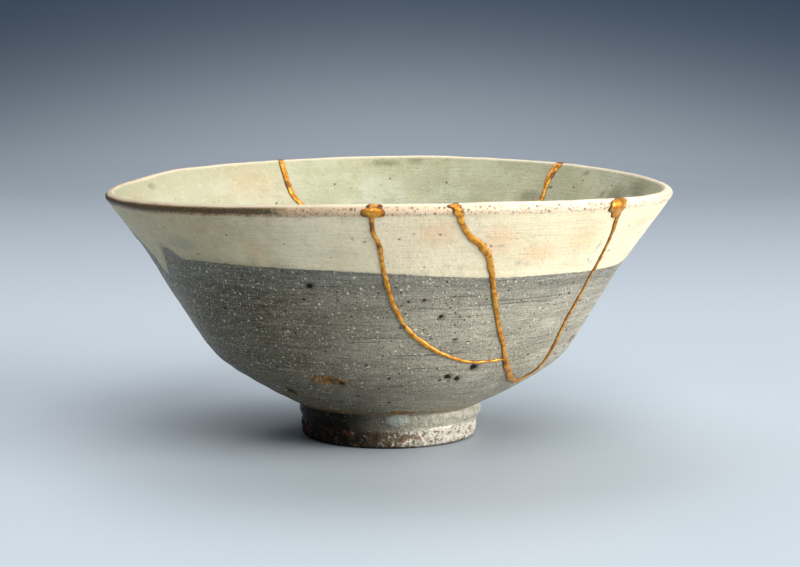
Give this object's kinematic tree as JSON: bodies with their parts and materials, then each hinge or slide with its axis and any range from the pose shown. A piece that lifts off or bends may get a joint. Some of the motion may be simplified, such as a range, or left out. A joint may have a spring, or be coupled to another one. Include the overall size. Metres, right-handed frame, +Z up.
{
  "type": "kintsugi tea bowl",
  "caption": "Wide conical stoneware tea bowl on a small foot ring, half dipped in pale slip, its sherds joined with raised gold lacquer seams.",
  "frame": {"origin": "centre of the foot ring's underside, where the bowl stands", "axes": "+Z up along the axis that the bowl was turned on, -Y towards the front, where the three-branched seam shows, +X to the right"},
  "size_m": [0.15, 0.1504, 0.0698],
  "materials": {
    "stoneware": "satin",
    "gold_lacquer": "satin"
  },
  "bodies": {
    "root": {"bowl_body": "stoneware", "front_left_sherd": "stoneware", "front_right_sherd": "stoneware", "back_sherd": "stoneware", "front_gold_seam": "gold_lacquer", "back_gold_seam": "gold_lacquer"}
  },
  "joints": []
}
